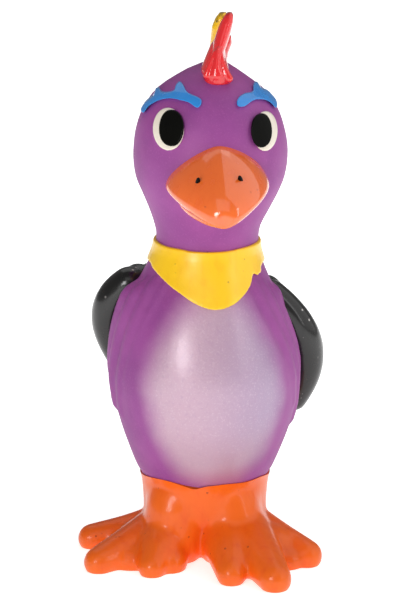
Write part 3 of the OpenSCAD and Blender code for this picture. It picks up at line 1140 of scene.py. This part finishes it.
@dataclass
class Comb:
    """Three lobes in a row, from front to back."""

    finishes: Finishes

    def lobe(self, name: str, node: str, parts: Sequence[Sequence[Ring]], flutes: Sequence[tuple],
             material: Material) -> Piece:
        """Returns one lobe run together from its parts and flutes."""
        pieces = [tube(f"{name}_{i}", rings, sides=32) for i, rings in enumerate(parts)]
        if flutes:
            clay = Clay("flutes")
            for start, bend, end, radii in flutes:
                clay.strand(start, bend, end, radii, 12)
            pieces.append(clay.done())
        piece = softened(joined(pieces, name), 0.28, 4)
        shaded(piece, material)
        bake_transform(piece)
        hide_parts(node)
        return piece

    def lobes(self) -> list[Piece]:
        """Returns the front, middle and rear lobe."""
        f = self.finishes
        front = [
            stack((3.2, -7.1, 132.0, 4.0, 3.6), (3.0, -7.0, 134.5, 3.4, 4.4), (3.0, -6.5, 136.4, 2.4, 4.5),
                  (3.3, -5.7, 138.6, 1.75, 4.2), (3.5, -5.2, 140.2, 1.65, 4.0), (4.15, -4.7, 142.6, 1.9, 3.6),
                  (4.9, -4.2, 145.0, 1.9, 3.2), (5.7, -3.8, 147.6, 1.7, 2.5), (6.3, -3.5, 149.4, 1.2, 1.6),
                  (6.5, -3.4, 150.3, 0.6, 0.8)),
            stack((2.8, -3.6, 131.5, 4.5, 6.0), (2.6, -3.6, 135.5, 3.7, 5.8), (2.8, -3.2, 138.5, 2.7, 4.8),
                  (3.3, -2.8, 141.5, 1.9, 3.6), (3.9, -2.6, 143.5, 1.1, 2.0)),
        ]
        flutes = [
            ((0.4, -9.7, 134.4), (1.2, -9.5, 136.8), (2.6, -8.6, 140.4), (1.0, 0.8, 0.5)),
            ((3.0, -10.6, 134.3), (3.0, -10.1, 137.0), (3.4, -8.8, 141.4), (0.9, 0.8, 0.5)),
            ((6.2, -10.0, 133.7), (4.6, -9.8, 136.6), (4.2, -8.6, 140.2), (1.2, 0.85, 0.5)),
        ]
        middle = [stack(
            (3.0, 3.2, 133, 2.3, 3.4), (2.9, 3.2, 137.5, 2.0, 3.4), (3.1, 3.0, 141.5, 1.75, 3.2),
            (3.5, 2.4, 145.5, 1.75, 2.8), (4.3, 1.7, 148.0, 1.6, 2.1), (4.8, 1.3, 149.6, 0.9, 1.2))]
        rear = [stack(
            (3.4, 9.0, 131.5, 3.0, 3.8), (3.8, 8.8, 135.0, 2.2, 3.6), (4.3, 8.6, 137.5, 2.0, 3.2),
            (5.0, 8.4, 140.2, 2.3, 3.0), (5.2, 8.2, 142.2, 1.9, 2.4), (5.1, 8.2, 143.4, 1.0, 1.3))]
        return [self.lobe("comb_front_lobe", "comb_front", front, flutes, f.red),
                self.lobe("comb_middle_lobe", "comb_middle", middle, (), f.comb_yellow),
                self.lobe("comb_rear_lobe", "comb_rear", rear, (), f.red)]


@dataclass
class Insides:
    """The fibre filling, and the squeaker, whose parts stay as they are drawn."""

    finishes: Finishes

    def filling(self, name: str, node: str, body: str) -> Piece:
        """Returns a tufted lump of fibre in the room of a plain solid."""
        low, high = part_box(node)
        middle, half = (low + high) / 2, (high - low) / 2
        pick()
        bpy.ops.mesh.primitive_ico_sphere_add(subdivisions=5, radius=1.0, location=middle, scale=half * 0.9)
        piece = settle(bpy.context.object)
        piece.name = name
        tufts = bpy.data.textures.new(f"{name}_tufts", "CLOUDS")
        tufts.noise_scale = 7 * MM
        tufts.noise_depth = 3
        modify(piece, "DISPLACE", texture=tufts, strength=3.0 * MM, mid_level=0.8)
        shaded(piece, self.finishes.fleece)
        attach(piece, body)
        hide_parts(node)
        return piece

    def squeaker(self) -> list[Piece]:
        """Returns the squeaker's own parts, dressed."""
        made = []
        for node in ("squeaker_housing", "squeaker_cap", "reed_block", "reed_clamp", "squeaker_reed"):
            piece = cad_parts[node]
            for slot in piece.material_slots:
                slot.material = self.finishes.brass if node == "squeaker_reed" else self.finishes.plastic
            made.append(piece)
        return made


@dataclass
class Studio:
    """White sweep, soft lights and the camera."""

    aim: Point = (-1.2, 0.0, 70.7)
    distance: float = 620.0
    height_angle: float = 15.0
    lens: float = 135.6
    # softbox: name, place, aim, size in millimetres and power in watts
    softboxes: tuple[tuple[str, Point, Point, Flat, float], ...] = (
        ("key", (-420, -820, 300), (0, 0, 75), (260, 260), 2.55),
        ("fill", (690, -500, 330), (0, 0, 75), (110, 460), 0.55),
        ("side", (600, -20, 640), (0, 0, 95), (1000, 1400), 3.5),
        ("top", (-60, -700, 720), (0, 0, 20), (700, 500), 0.75),
        ("back", (-60, 430, 720), (0, 0, 90), (760, 520), 0.8),
    )

    def floor(self) -> Piece:
        """Returns the pale floor."""
        g = Graph("sweep")
        x, y, _ = g.axes()
        far = (x * x + y * y).root().rise(40.0, 200.0)
        g.set(Base_Color=g.blend(srgb(246, 246, 246), srgb(252, 252, 252), g.noise(90.0)), Roughness=0.9)
        g.set(Specular_IOR_Level=0.1, Emission_Strength=1.0)
        g.set(Emission_Color=g.blend((0.66, 0.66, 0.66, 1), (1, 1, 1, 1), far))
        pick()
        bpy.ops.mesh.primitive_plane_add(size=6.0, location=(0, 0, 0))
        made = bpy.context.object
        made.name = "floor"
        made.data.materials.append(g.material)
        return made

    @staticmethod
    def light(name: str, at: Point, aim: Point, size: Flat, power: float) -> Piece:
        """Returns a softbox at a place in millimetres, facing its aim."""
        lamp = bpy.data.lights.new(name, "AREA")
        lamp.shape = "RECTANGLE"
        lamp.size, lamp.size_y = size[0] * MM, size[1] * MM
        lamp.energy = power
        made = bpy.data.objects.new(name, lamp)
        bpy.context.scene.collection.objects.link(made)
        made.location = Vector(at) * MM
        made.rotation_euler = (Vector(aim) - Vector(at)).to_track_quat("-Z", "Y").to_euler()
        return made

    def lights(self) -> None:
        """Sets up the softboxes and the white surroundings."""
        for name, at, aim, size, power in self.softboxes:
            self.light(name, at, aim, size, power)
        world = bpy.data.worlds.new("surround")
        world.use_nodes = True
        sky = world.node_tree.nodes["Background"]
        sky.inputs["Color"].default_value = (1, 1, 1, 1)
        sky.inputs["Strength"].default_value = 0.2
        bpy.context.scene.world = world

    def camera(self) -> Piece:
        """Returns the camera, which looks down a little at the figure."""
        lens = bpy.data.cameras.new("camera")
        lens.lens = self.lens
        lens.sensor_width = 36.0
        lens.clip_start = 0.01
        made = bpy.data.objects.new("camera", lens)
        bpy.context.scene.collection.objects.link(made)
        a = math.radians(self.height_angle)
        at = Vector(self.aim) + self.distance * Vector((0, -math.cos(a), math.sin(a)))
        made.location = at * MM
        made.rotation_euler = (math.pi / 2 - a, 0, 0)
        bpy.context.scene.camera = made
        return made


def report(pieces: Piece | Sequence[Piece]) -> None:
    """Logs each piece with its number of faces."""
    for piece in pieces if isinstance(pieces, (list, tuple)) else [pieces]:
        LOG.info("%s: %d faces", piece.name, len(piece.data.polygons))


def main() -> None:
    """Builds the figure piece by piece, then the studio."""
    logging.basicConfig(level=logging.INFO, format="%(message)s")
    studio = Studio()
    studio.camera()
    finishes = Finishes()
    trunk = Trunk(finishes)
    report(trunk.skin())
    report(trunk.collar())
    report(Legs(finishes).skin())
    report(Wings(finishes).both())
    head = Head(finishes)
    report(head.skin())
    bills = head.bills()
    report(bills)
    report(head.nostrils(bills[0]))
    report(head.eyes())
    report(head.brows())
    report(Comb(finishes).lobes())
    insides = Insides(finishes)
    report(insides.filling("body_fibre", "body_filling", "torso"))
    report(insides.filling("head_fibre", "head_filling", "head"))
    report(insides.squeaker())
    studio.floor()
    studio.lights()
    bpy.context.scene.view_settings.view_transform = "Standard"


if __name__ == "__main__":
    main()
